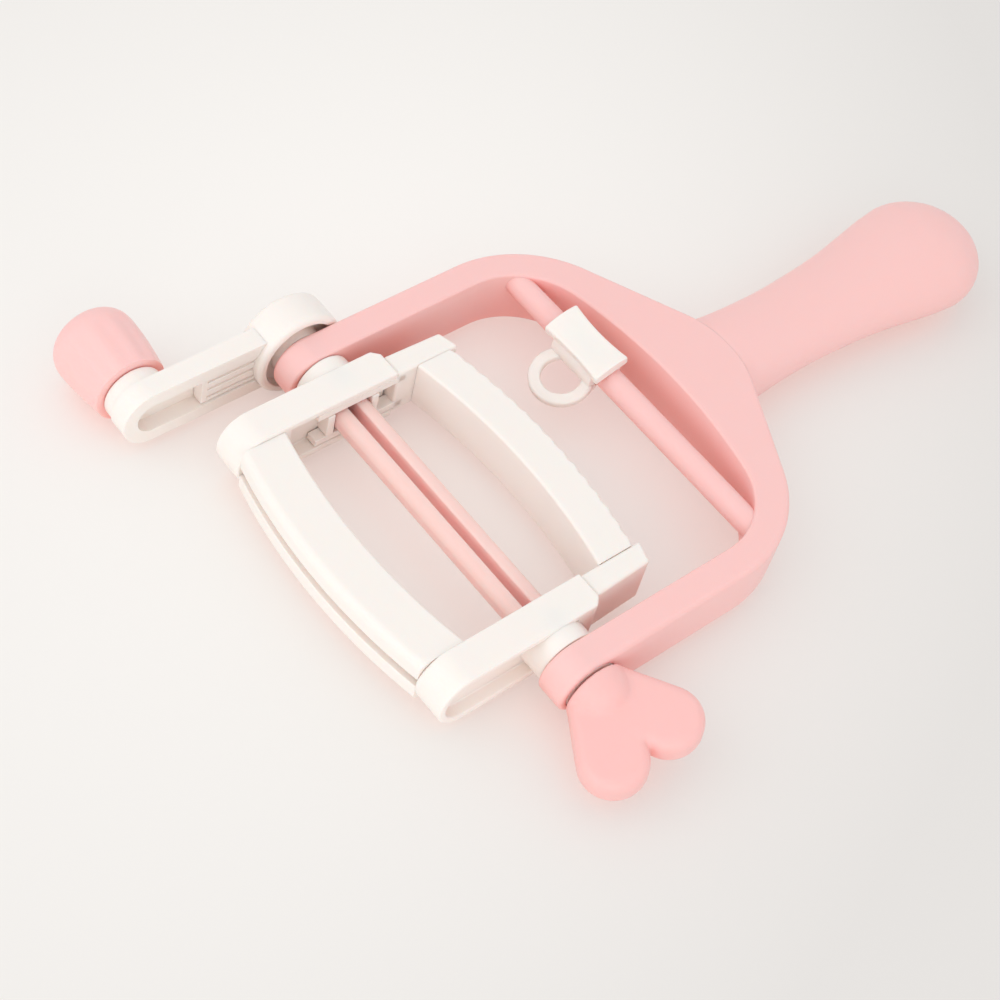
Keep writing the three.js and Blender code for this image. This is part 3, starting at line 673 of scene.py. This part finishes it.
def sleeve(side):
    """An end bar: its journal is open on the key side, and closed on the crank side."""
    body = prism(round_ended(BAR_NEAR_END, BAR_FAR_END, BAR_HALF_HEIGHT), "y", -BAR_OUTER, -BAR_INNER)
    recess = prism(round_ended(BAR_NEAR_END + BAR_WALL, RECESS_END, POCKET_HALF), "y",
                   -BAR_OUTER - 2 * OVER, -WEB_OUTER)
    pocket = block(POCKET_START, BAR_FAR_END + 2 * OVER, -WEB_INNER, -BAR_INNER + 2 * OVER,
                   -POCKET_HALF, POCKET_HALF)
    corner = prism([(BAR_FAR_END - BAR_CHAMFER, -BAR_OUTER - OVER), (BAR_FAR_END + OVER, -BAR_OUTER - OVER),
                    (BAR_FAR_END + OVER, -BAR_OUTER + BAR_CHAMFER)], "z", -CUT_REACH, CUT_REACH)
    hole = cylinder(SHANK_BORE, -WEB_OUTER - OVER, -WEB_INNER + OVER)
    soften(cut(body, recess, pocket, corner, hole), BAR_EDGE)
    collar = [(JOURNAL_RADIUS, -ARM_OUTER), (JOURNAL_RADIUS, -ARM_INNER + RUN),
              (COLLAR_RADIUS, -ARM_INNER + RUN), (COLLAR_RADIUS, -WEB_INNER), (SHANK_BORE, -WEB_INNER)]
    if side < 0:
        journal = turned_ring([(SHANK_BORE, -ARM_OUTER)] + collar)
    else:
        journal = turned([(0, -ARM_OUTER)] + collar + [(SHANK_BORE, SPIGOT_HOLE_END), (0, SPIGOT_HOLE_END)])
    parts = [body, soften(journal, COLLAR_EDGE)]
    for end in (-1, 1):
        near, far = sorted((end * SHANK_BORE, end * (SHANK_BORE + GUIDE_BLOCK_WIDTH)))
        guide_block = block(near, far, -WEB_INNER - GUIDE_BLOCK_SINK, -BAR_INNER,
                            -GUIDE_BLOCK_HALF, GUIDE_BLOCK_HALF)
        parts.append(soften(guide_block, LEG_EDGE))
    made = gather(parts)
    return made if side < 0 else mirrored(made)


# Sliders

SLIDER_START = BAR_FAR_END + RUN
SLIDER_END = 35.6
SLIDER_HALF = 8.2
SLIDER_INNER = BAR_INNER + RUN
SLIDER_OUTER = 46.6
SLIDER_OUTER_END = 45.8
SLIDER_TAPER = 2
SLIDER_EDGE = 0.9
LEG_START = -12
LEG_SINK = 3
LEG_HEIGHT = 2.4
LEG_HIGH = POCKET_HALF - RUN


def slider(side):
    head = prism([(SLIDER_START, -SLIDER_INNER), (SLIDER_START, -SLIDER_OUTER),
                  (SLIDER_END - SLIDER_TAPER, -SLIDER_OUTER_END), (SLIDER_END, -SLIDER_INNER)],
                 "z", -SLIDER_HALF, SLIDER_HALF)
    parts = [soften(head, SLIDER_EDGE, segments=4)]
    for low in (LEG_HIGH - LEG_HEIGHT, -LEG_HIGH):
        leg = block(LEG_START, SLIDER_START + LEG_SINK, -WEB_INNER + RUN, -SLIDER_INNER,
                    low, low + LEG_HEIGHT)
        parts.append(soften(leg, LEG_EDGE))
    made = gather(parts)
    return made if side < 0 else mirrored(made)


# Curved bars

SAGITTA = 4.1
CURVE_HALF_HEIGHT = 8.0
CURVE_EDGE = 0.9
CURVE_EDGE_STEPS = 4
CURVE_CROWN_STEPS = 7
CURVE_STATIONS = 240
GROOVE_HALF = 1.6
GROOVE_DEPTH = 6.0
LIP = 0.4
LIP_STEPS = 3
TEETH = 15


def curved_edge(reach, y):
    """How far out a line lies that follows the bars' curve and reaches this far at mid-length."""
    radius = (BAR_INNER ** 2 + SAGITTA ** 2) / (2 * SAGITTA)
    return reach - radius + math.sqrt(radius ** 2 - y ** 2)


def curved_bar(side, inner, width, crown, tooth, length):
    """A bar swept along its curve: crown rounds its outer edges, and tooth is the depth of its waves."""
    half = CURVE_HALF_HEIGHT
    rings = []
    for i in range(CURVE_STATIONS + 1):
        share = i / CURVE_STATIONS
        y = length * (2 * share - 1)
        low = curved_edge(inner, y)
        wave = tooth * (1 + math.cos(2 * math.pi * TEETH * share)) / 2
        high = curved_edge(inner + width, y) - wave
        floor = curved_edge(inner + width - GROOVE_DEPTH, y)
        top = arc(low + CURVE_EDGE, half - CURVE_EDGE, CURVE_EDGE, 180, 90, CURVE_EDGE_STEPS)
        top += arc(high - crown, half - crown, crown, 90, 0, CURVE_CROWN_STEPS)
        top += arc(high - LIP, GROOVE_HALF + LIP, LIP, 0, -90, LIP_STEPS)
        top += [(floor + LIP, GROOVE_HALF), (floor, GROOVE_HALF - LIP)]
        section = top + [(x, -z) for x, z in reversed(top)]
        rings.append([(side * x, y, z) for x, z in section])
    return skin(rings)


# Split shaft

SHANK_START = -67.4
SHANK_END = -44
SLOT_HALF = 1.45
SLOT_EDGE = 0.7
PRONG_HALF = 3.4
PRONG_CORNER = 2.6
CORNER_STEPS = 8
LEAST_CORNER = 0.05
# A row is a place along Y and how much smaller the corners are there
PRONG_STATIONS = [(-44.5, 0.0), (46.6, 0.0), (47.0, 0.12), (47.3, 0.35), (47.5, 0.8)]


def prong(side):
    """One prong: a bar whose outer corners follow the shaft's round, with an eased tip."""
    corners = [(SLOT_HALF, -PRONG_HALF, SLOT_EDGE), (SHANK_RADIUS, -PRONG_HALF, PRONG_CORNER),
               (SHANK_RADIUS, PRONG_HALF, PRONG_CORNER), (SLOT_HALF, PRONG_HALF, SLOT_EDGE)]
    rings = []
    for y, inset in PRONG_STATIONS:
        ring = []
        for (x, z, r), first in zip(corners, (180, 270, 0, 90)):
            cx = x - r if x > SLOT_HALF else x + r
            cz = z + r if z < 0 else z - r
            for u, v in arc(cx, cz, max(r - inset, LEAST_CORNER), first, first + 90, CORNER_STEPS):
                ring.append((side * u, y, v))
        rings.append(ring)
    return skin(rings)


def split_shaft():
    return gather([cylinder(SHANK_RADIUS, SHANK_START, SHANK_END), prong(-1), prong(1)])


# Heart key

HEART_TURN = math.radians(-10)
HEART_FACE = -ARM_OUTER - 0.8
HEART_APEX_Y = -50.0
HEART_LOBE_X = 9.0
HEART_LOBE_Y = -83.2
HEART_LOBE_RADIUS = 9.3
HEART_HALF = 4.6
HEART_EDGE = 2.8
HEART_LEVELS = 8
LOBE_STEPS = 40
NOTCH_STEPS = 6
DOME_RADIUS = 9.1
DOME_HEIGHT = 9.5
DOME_RIM = 1.5
DOME_FULLNESS = 0.8
DOME_STEPS = 14
BLEND_VOXEL = 0.5
BLEND_STRENGTH = 0.5
BLEND_PASSES = 14


def heart_ring(inset, z):
    """The heart's outline from above, moved inwards by the inset."""
    reach = math.hypot(HEART_LOBE_X, HEART_APEX_Y - HEART_LOBE_Y)
    lean = math.atan2(HEART_LOBE_X, HEART_APEX_Y - HEART_LOBE_Y)
    start = math.pi / 2 - math.acos(HEART_LOBE_RADIUS / reach) + lean
    notch = math.acos(HEART_LOBE_X / HEART_LOBE_RADIUS)
    notch_y = HEART_LOBE_Y - HEART_LOBE_RADIUS * math.sin(notch)
    radius = HEART_LOBE_RADIUS - inset
    edge_x = HEART_LOBE_X + radius * math.cos(start)
    edge_y = HEART_LOBE_Y + radius * math.sin(start)
    face_x = edge_x - (HEART_FACE - edge_y) * math.tan(start)
    half = [(face_x, HEART_FACE),
            (edge_x + (face_x - edge_x) * 0.5, edge_y + (HEART_FACE - edge_y) * 0.5)]
    half += arc(HEART_LOBE_X, HEART_LOBE_Y, radius, math.degrees(start), math.degrees(notch) - 180,
                LOBE_STEPS)
    half += arc(0, notch_y, inset, math.degrees(notch), 90, NOTCH_STEPS)[1:]
    return [(x, y, z) for x, y in half] + [(-x, y, z) for x, y in reversed(half[:-1])]


def heart_key():
    """The heart and a dome on its hub, melted into one smooth skin."""
    levels = [(HEART_EDGE * (1 - math.sin(a)), HEART_HALF - HEART_EDGE * (1 - math.cos(a)))
              for a in quarter(HEART_LEVELS)]
    rings = [heart_ring(inset, z) for inset, z in levels]
    rings += [heart_ring(inset, -z) for inset, z in reversed(levels)]
    heart = skin(rings)
    profile = [(0, HEART_FACE - DOME_RIM - DOME_HEIGHT)]
    for i in range(1, DOME_STEPS + 1):
        a = math.pi / 2 * (1 - i / DOME_STEPS)
        profile.append((DOME_RADIUS * math.cos(a) ** DOME_FULLNESS,
                        HEART_FACE - DOME_RIM - DOME_HEIGHT * math.sin(a)))
    profile += [(DOME_RADIUS, HEART_FACE), (0, HEART_FACE)]
    made = gather([heart, turned(profile)])
    remesh = made.modifiers.new("blend", "REMESH")
    remesh.mode = "VOXEL"
    remesh.voxel_size = BLEND_VOXEL
    settle(made)
    smooth = made.modifiers.new("melt", "SMOOTH")
    smooth.factor = BLEND_STRENGTH
    smooth.iterations = BLEND_PASSES
    settle(made)
    made.data.transform(Matrix.Rotation(HEART_TURN, 4, "Y"))
    return made


# Crank hub and arm

HUB_FACE = ARM_OUTER + RUN
HUB_BACK = HUB_FACE + 11.6
HUB_RADIUS = 14.0
HUB_EDGE = 1.6
HUB_EDGE_STEPS = 6
HUB_SOFTENING = 0.4
CUP_RADIUS = 11.4
CUP_DEPTH = 3.2
SCREW_HOLE = 1.9
SCREW_HEAD_SPACE = 4.0
SCREW_SEAT = HUB_BACK - 5
CRANK_FACE = ARM_OUTER + 2.6
CRANK_BACK = CRANK_FACE + 6.4
CRANK_THROW = 46.5
CRANK_HALF = 9.3
CRANK_EDGE = 0.6
CRANK_FLOOR = 2
CRANK_RECESS_HALF = 5.0
TONGUE_START = -31
TONGUE_SINK = 1.2
TONGUE_FRONT = CRANK_FACE + 0.5
TONGUE_BACK = CRANK_BACK - 2.3
TONGUE_EDGE = 0.25
RIB_PITCH = 3.1
RIB_GAP_START = -29
RIB_GAP_SHORT = 3
RIB_GAP_DEPTH = 1
RIB_GAP_HALF = 0.45
HUB_SPACE = 0.1
HUB_SPACE_START = 60
HUB_SPACE_END = 80
BOSS_RADIUS = 8.8
BOSS_SINK = 0.5
BOSS_END = CRANK_BACK + 4.5
BOSS_EDGE = 0.6


def crank_hub():
    profile = [(SCREW_HOLE, HUB_FACE), (JOURNAL_RADIUS, HUB_FACE), (JOURNAL_RADIUS, HUB_FACE + CUP_DEPTH),
               (CUP_RADIUS, HUB_FACE + CUP_DEPTH), (CUP_RADIUS, HUB_FACE)]
    profile += arc(HUB_RADIUS - HUB_EDGE, HUB_FACE + HUB_EDGE, HUB_EDGE, -90, 0, HUB_EDGE_STEPS)
    profile += arc(HUB_RADIUS - HUB_EDGE, HUB_BACK - HUB_EDGE, HUB_EDGE, 0, 90, HUB_EDGE_STEPS)
    profile += [(SCREW_HEAD_SPACE, HUB_BACK), (SCREW_HEAD_SPACE, SCREW_SEAT), (SCREW_HOLE, SCREW_SEAT)]
    disc = soften(turned_ring(profile), HUB_SOFTENING)
    half = CRANK_RECESS_HALF - RUN
    tongue = block(TONGUE_START, -HUB_RADIUS + TONGUE_SINK, TONGUE_FRONT, TONGUE_BACK, -half, half)
    for row in (-1, 0, 1):
        z = row * RIB_PITCH
        cut(tongue, block(RIB_GAP_START, -HUB_RADIUS + RIB_GAP_SHORT, TONGUE_FRONT - OVER,
                          TONGUE_FRONT + RIB_GAP_DEPTH, z - RIB_GAP_HALF, z + RIB_GAP_HALF))
    return gather([disc, soften(tongue, TONGUE_EDGE, segments=2)])


def crank_arm():
    plate = prism(round_ended(-CRANK_THROW - CRANK_HALF, 0, CRANK_HALF), "y", CRANK_FACE, CRANK_BACK)
    recess = prism(round_ended(-CRANK_THROW - CRANK_RECESS_HALF, OVER, CRANK_RECESS_HALF), "y",
                   CRANK_FACE - OVER, CRANK_BACK - CRANK_FLOOR)
    hub_space = cylinder(HUB_RADIUS + HUB_SPACE, HUB_SPACE_START, HUB_SPACE_END)
    soften(cut(plate, hub_space, recess), CRANK_EDGE)
    low = CRANK_BACK - BOSS_SINK
    boss = soften(turned_ring([(PIVOT_BORE, low), (BOSS_RADIUS, low), (BOSS_RADIUS, BOSS_END),
                               (PIVOT_BORE, BOSS_END)]), BOSS_EDGE)
    boss.data.transform(Matrix.Translation((-CRANK_THROW, 0, 0)))
    return gather([plate, boss])


# Knob

KNOB_BASE = BOSS_END + RUN
KNOB_END = KNOB_BASE + 23.8
KNOB_SEAT = KNOB_END - 5
KNOB_BASE_RADIUS = 10.9
KNOB_RADIUS = 12.4
KNOB_EDGE = 0.7
KNOB_EDGE_INNER = 0.2
KNOB_DOME = 7.0
KNOB_STRAIGHT = KNOB_END - KNOB_BASE - KNOB_DOME
KNOB_ROUND = 5.5
KNOB_SIDE_STEPS = 24
KNOB_DOME_STEPS = 12
KNOB_STEPS = 192
KNOB_WELL = 4.4
KNOB_WELL_EDGE = 0.4
FLUTES = 12
FLUTE_HALF_DEPTH = 0.17
FLUTE_RUN_OUT = 6.0
FLUTE_RUN_IN = 1.5
FLUTE_LEAST_RADIUS = 8


def flute(r, y, a):
    """How deep the knob's outside is sunk at an angle, less towards both ends."""
    if r <= FLUTE_LEAST_RADIUS:
        return 0.0
    fade = min(1.0, max(0.0, (KNOB_BASE + KNOB_STRAIGHT + FLUTE_RUN_OUT / 2 - y) / FLUTE_RUN_OUT))
    fade *= min(1.0, (y - KNOB_BASE) / FLUTE_RUN_IN)
    return FLUTE_HALF_DEPTH * (1 + math.cos(FLUTES * a)) * fade


def knob():
    profile = [(PIVOT_BORE, KNOB_BASE), (KNOB_BASE_RADIUS - KNOB_EDGE, KNOB_BASE),
               (KNOB_BASE_RADIUS - KNOB_EDGE_INNER, KNOB_BASE + KNOB_EDGE_INNER),
               (KNOB_BASE_RADIUS, KNOB_BASE + KNOB_EDGE)]
    for i in range(1, KNOB_SIDE_STEPS + 1):
        t = i / KNOB_SIDE_STEPS
        profile.append((KNOB_BASE_RADIUS + (KNOB_RADIUS - KNOB_BASE_RADIUS) * math.sin(t * math.pi / 2),
                        KNOB_BASE + KNOB_EDGE + t * (KNOB_STRAIGHT - KNOB_EDGE)))
    for a in quarter(KNOB_DOME_STEPS, 1):
        profile.append((KNOB_RADIUS - KNOB_ROUND + KNOB_ROUND * math.cos(a),
                        KNOB_BASE + KNOB_STRAIGHT + KNOB_DOME * math.sin(a)))
    profile += [(KNOB_WELL + KNOB_WELL_EDGE, KNOB_END), (KNOB_WELL, KNOB_END - KNOB_WELL_EDGE),
                (KNOB_WELL, KNOB_SEAT), (PIVOT_BORE, KNOB_SEAT)]
    return turned_ring(profile, -CRANK_THROW, KNOB_STEPS, flute)


# Screws

SCREW_STEPS = 48
HEAD_RADIUS = 3.4
HEAD_HEIGHT = 2.4
HEAD_RIM = 0.5
HEAD_STEPS = 9
TIP_SHARE = 0.6
TIP_LENGTH = 0.8
CROSS_REACH = 1.9
CROSS_HALF = 0.35
CROSS_FLOOR = 1.0
CROSS_TOP = 4


def screw(shank, tip, seat, x):
    """A screw along Y whose domed head sits on the seat."""
    profile = [(0, tip), (shank * TIP_SHARE, tip), (shank, tip + TIP_LENGTH), (shank, seat),
               (HEAD_RADIUS, seat)]
    for a in quarter(HEAD_STEPS)[:-1]:
        profile.append((HEAD_RADIUS * math.cos(a), seat + HEAD_RIM + (HEAD_HEIGHT - HEAD_RIM) * math.sin(a)))
    profile.append((0, seat + HEAD_HEIGHT))
    low, high = seat + CROSS_FLOOR, seat + CROSS_TOP
    return cut(turned(profile, x, steps=SCREW_STEPS),
               block(x - CROSS_REACH, x + CROSS_REACH, low, high, -CROSS_HALF, CROSS_HALF),
               block(x - CROSS_HALF, x + CROSS_HALF, low, high, -CROSS_REACH, CROSS_REACH))


# Pieces

NEAR_BAR = {"inner": 27.2, "width": 14.2, "crown": 2.4, "tooth": 0.0, "length": 38.9}
FAR_BAR = {"inner": 25.4, "width": 12.4, "crown": 1.2, "tooth": 0.45, "length": 39.2}
HUB_SCREW = {"shank": 1.6, "tip": 50.5, "seat": SCREW_SEAT + RUN, "x": 0}
PIVOT_SCREW = {"shank": 2.4, "tip": CRANK_BACK - 0.7, "seat": KNOB_SEAT + RUN, "x": -CRANK_THROW}

fit(bow(), "bow", "bow_frame", "frame", pink)
fit(grip(), "grip", "handle_grip", "frame", pink)
fit(guide_rod(), "rod", "guide_rod", "frame", pink)
fit(yarn_guide(), "guide", "yarn_guide", "guide", white)
fit(sleeve(-1), "key_sleeve", "key_side_bar", "winder", white)
fit(sleeve(1), "crank_sleeve", "crank_side_bar", "winder", white)
fit(curved_bar(-1, **NEAR_BAR), "near_bar", "near_curved_bar", "winder", white)
fit(crank_hub(), "hub", "crank_hub", "winder", white)
fit(crank_arm(), "arm", "crank_arm", "winder", white)
fit(screw(**HUB_SCREW), "hub_screw", "crank_screw", "winder", steel)
fit(screw(**PIVOT_SCREW), "pivot_screw", "knob_screw", "winder", steel)
fit(knob(), "knob", "crank_knob", "knob", pink)
fit(curved_bar(1, **FAR_BAR), "far_bar", "far_curved_bar", "far_half", white)
fit(slider(-1), "key_slider", "key_side_slider", "far_half", white)
fit(slider(1), "crank_slider", "crank_side_slider", "far_half", white)
fit(split_shaft(), "shaft", "split_shaft", "key", thin_pink)
fit(heart_key(), "heart", "heart_key", "key", full_pink)


# Floor

FLOOR_SIZE = 40
FLOOR_Z = cad_box[0][2]
FLOOR_ROUGHNESS = 0.9
# The paper greys with painted shade towards one side and away from the middle.
PAPER_PALE = linear(254, 251, 247)
PAPER_IN_SHADE = linear(230, 227, 224)
# The warm colour below is painted warm shade, for pink light bounced onto the floor near the object.
PAPER_WARM_SHADE = linear(255, 240, 234)
SIDE_WAY = (0.533, -0.846, 0.0)
SIDE_START = -0.1
SIDE_END = 0.95
SIDE_FACTOR = 3.67
MIDDLE = (0.052, 0.048, 0.0)
AWAY_FACTOR = 2.67
# Reach and open shares of the floor's painted warm shade.
WARM_SHADE_REACH = 50
WARM_SHADE_START = 0.62
WARM_SHADE_END = 0.25
EVEN_SHARE = 0.4


def vector_value(tree, operation, fixed):
    """A number made of the place on the object and a fixed vector."""
    node = tree.nodes.new("ShaderNodeVectorMath")
    node.operation = operation
    node.inputs[1].default_value = fixed
    tree.links.new(object_place(tree), node.inputs[0])
    return node.outputs["Value"]


def floor_material():
    """Pale paper with painted shade that greys it towards one side and away from the middle, and painted
    warm shade in hollow places; part of it looks evenly lit, which keeps shadows light.
    """
    material = bpy.data.materials.new("floor_paper")
    material.use_nodes = True
    tree = material.node_tree
    side = mapped(tree, vector_value(tree, "DOT_PRODUCT", SIDE_WAY), SIDE_START, SIDE_END, kind="SMOOTHSTEP")
    away = vector_value(tree, "DISTANCE", MIDDLE)
    # Painted shade: greyer towards one side and away from the middle.
    shade = summed(tree, scaled(tree, side, SIDE_FACTOR), scaled(tree, away, AWAY_FACTOR))
    paper = mixed(tree, shade, PAPER_PALE, PAPER_IN_SHADE)
    # Painted warm shade in hollow places on the floor.
    warm_shaded = mixed(tree, hollow_shade_mask(tree, WARM_SHADE_REACH, WARM_SHADE_START, WARM_SHADE_END), paper, PAPER_WARM_SHADE)
    shader = tree.nodes["Principled BSDF"]
    shader.inputs["Roughness"].default_value = FLOOR_ROUGHNESS
    tree.links.new(warm_shaded, shader.inputs["Base Color"])
    even = tree.nodes.new("ShaderNodeEmission")
    tree.links.new(warm_shaded, even.inputs["Color"])
    path = tree.nodes.new("ShaderNodeLightPath")
    seen = summed(tree, path.outputs["Is Camera Ray"], path.outputs["Is Glossy Ray"],
                  path.outputs["Is Transmission Ray"])
    mix = tree.nodes.new("ShaderNodeMixShader")
    tree.links.new(scaled(tree, seen, EVEN_SHARE), mix.inputs["Fac"])
    tree.links.new(shader.outputs["BSDF"], mix.inputs[1])
    tree.links.new(even.outputs["Emission"], mix.inputs[2])
    tree.links.new(mix.outputs["Shader"], tree.nodes["Material Output"].inputs["Surface"])
    return material


bpy.ops.mesh.primitive_plane_add(size=FLOOR_SIZE, location=(0, 0, FLOOR_Z))
floor = bpy.context.object
floor.name = "floor"
floor.data.materials.append(floor_material())


# Light

LIGHT_SIZE = 0.8
WORLD_STRENGTH = 0.87


def area_light(name, place, power):
    """A square lamp that points at the middle of the part."""
    data = bpy.data.lights.new(name, "AREA")
    data.shape = "SQUARE"
    data.size = LIGHT_SIZE
    data.energy = power
    lamp = bpy.data.objects.new(name, data)
    bpy.context.scene.collection.objects.link(lamp)
    lamp.location = place
    lamp.rotation_euler = (-Vector(place)).to_track_quat("-Z", "Y").to_euler()


area_light("key_light", (-0.6, 0.2, 0.6), 1.3)
area_light("front_light", (-0.5, -0.65, 0.3), 1.5)

world = bpy.data.worlds.new("studio")
bpy.context.scene.world = world
world.use_nodes = True
background = world.node_tree.nodes["Background"]
background.inputs["Color"].default_value = (1, 1, 1, 1)
background.inputs["Strength"].default_value = WORLD_STRENGTH


# Camera, fitted to the straight edges in the photograph

SENSOR_WIDTH = 36
LENS = 73.09
CAMERA_PLACE = (-0.24438, -0.21695, 0.42984)
CAMERA_ANGLES = (37.0148, -9.463, -38.6544)

camera_data = bpy.data.cameras.new("camera")
camera_data.sensor_width = SENSOR_WIDTH
camera_data.lens = LENS
camera = bpy.data.objects.new("camera", camera_data)
bpy.context.scene.collection.objects.link(camera)
camera.location = CAMERA_PLACE
camera.rotation_euler = Euler([math.radians(a) for a in CAMERA_ANGLES], "XYZ")
bpy.context.scene.camera = camera
bpy.context.scene.view_settings.view_transform = "Standard"
